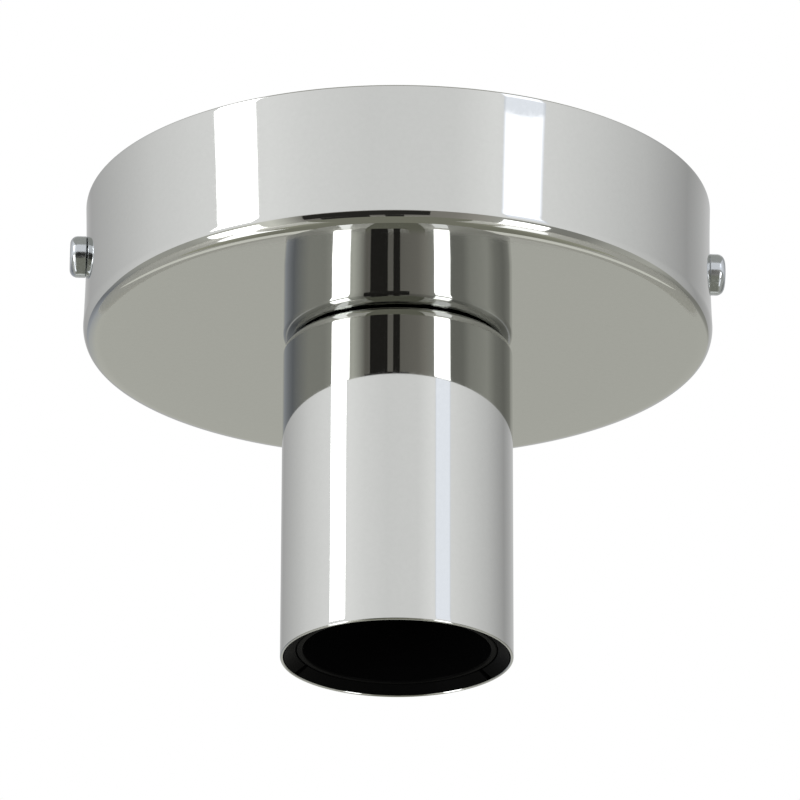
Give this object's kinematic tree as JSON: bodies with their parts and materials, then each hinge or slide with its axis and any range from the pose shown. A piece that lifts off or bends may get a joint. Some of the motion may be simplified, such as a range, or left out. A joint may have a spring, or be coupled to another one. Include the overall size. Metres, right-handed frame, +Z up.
{
  "type": "ceiling lamp socket",
  "caption": "Chrome ceiling lamp socket: a round pressed canopy on a strap bracket, a straight cylindrical cup under it and an E27 lamp holder inside the cup.",
  "frame": {"origin": "centre of the bracket's ceiling slots, on the ceiling plane, on the canopy's axis", "axes": "+Z up into the ceiling, +X along the bracket and through the two side screws"},
  "size_m": [0.1262, 0.1206, 0.0913],
  "materials": {
    "chrome_plate": "polished chrome plate on steel sheet",
    "galvanised_steel": "galvanised steel strip",
    "zinc_plate": "bright zinc plate",
    "brass": "plain brass",
    "nickel_plate": "nickel-plated brass sheet",
    "spring_bronze": "phosphor-bronze strip",
    "black_plastic": "moulded black thermoplastic",
    "white_plastic": "moulded natural nylon",
    "white_ceramic": "pressed steatite"
  },
  "bodies": {
    "housing": {"canopy": "chrome_plate", "ceiling_bracket": "galvanised_steel", "side_screws": "zinc_plate", "bracket_earth_washer": "zinc_plate", "bracket_earth_screw": "brass", "threaded_nipple": "zinc_plate", "nipple_locknut": "zinc_plate", "toothed_washer": "zinc_plate", "earth_tag": "brass", "wire_bush": "white_plastic", "socket_cup": "chrome_plate", "socket_cap": "black_plastic", "cap_grub_screw": "zinc_plate", "side_terminal": "brass", "centre_terminal": "brass", "terminal_screws": "zinc_plate", "contact_block": "white_ceramic", "shell_screws": "zinc_plate", "shell_nut": "brass", "screw_shell": "nickel_plate", "socket_skirt": "black_plastic", "retaining_ring": "black_plastic"},
    "centre_contact": {"centre_contact": "spring_bronze"}
  },
  "joints": [
    {"name": "centre_contact_flex", "type": "hinge", "parent": "housing", "child": "centre_contact", "pos_m": [-0.0098, 0, -0.054], "axis": [0, -1, 0], "range_deg": [0, 10], "stiffness_Nm_per_rad": 0.4}
  ]
}
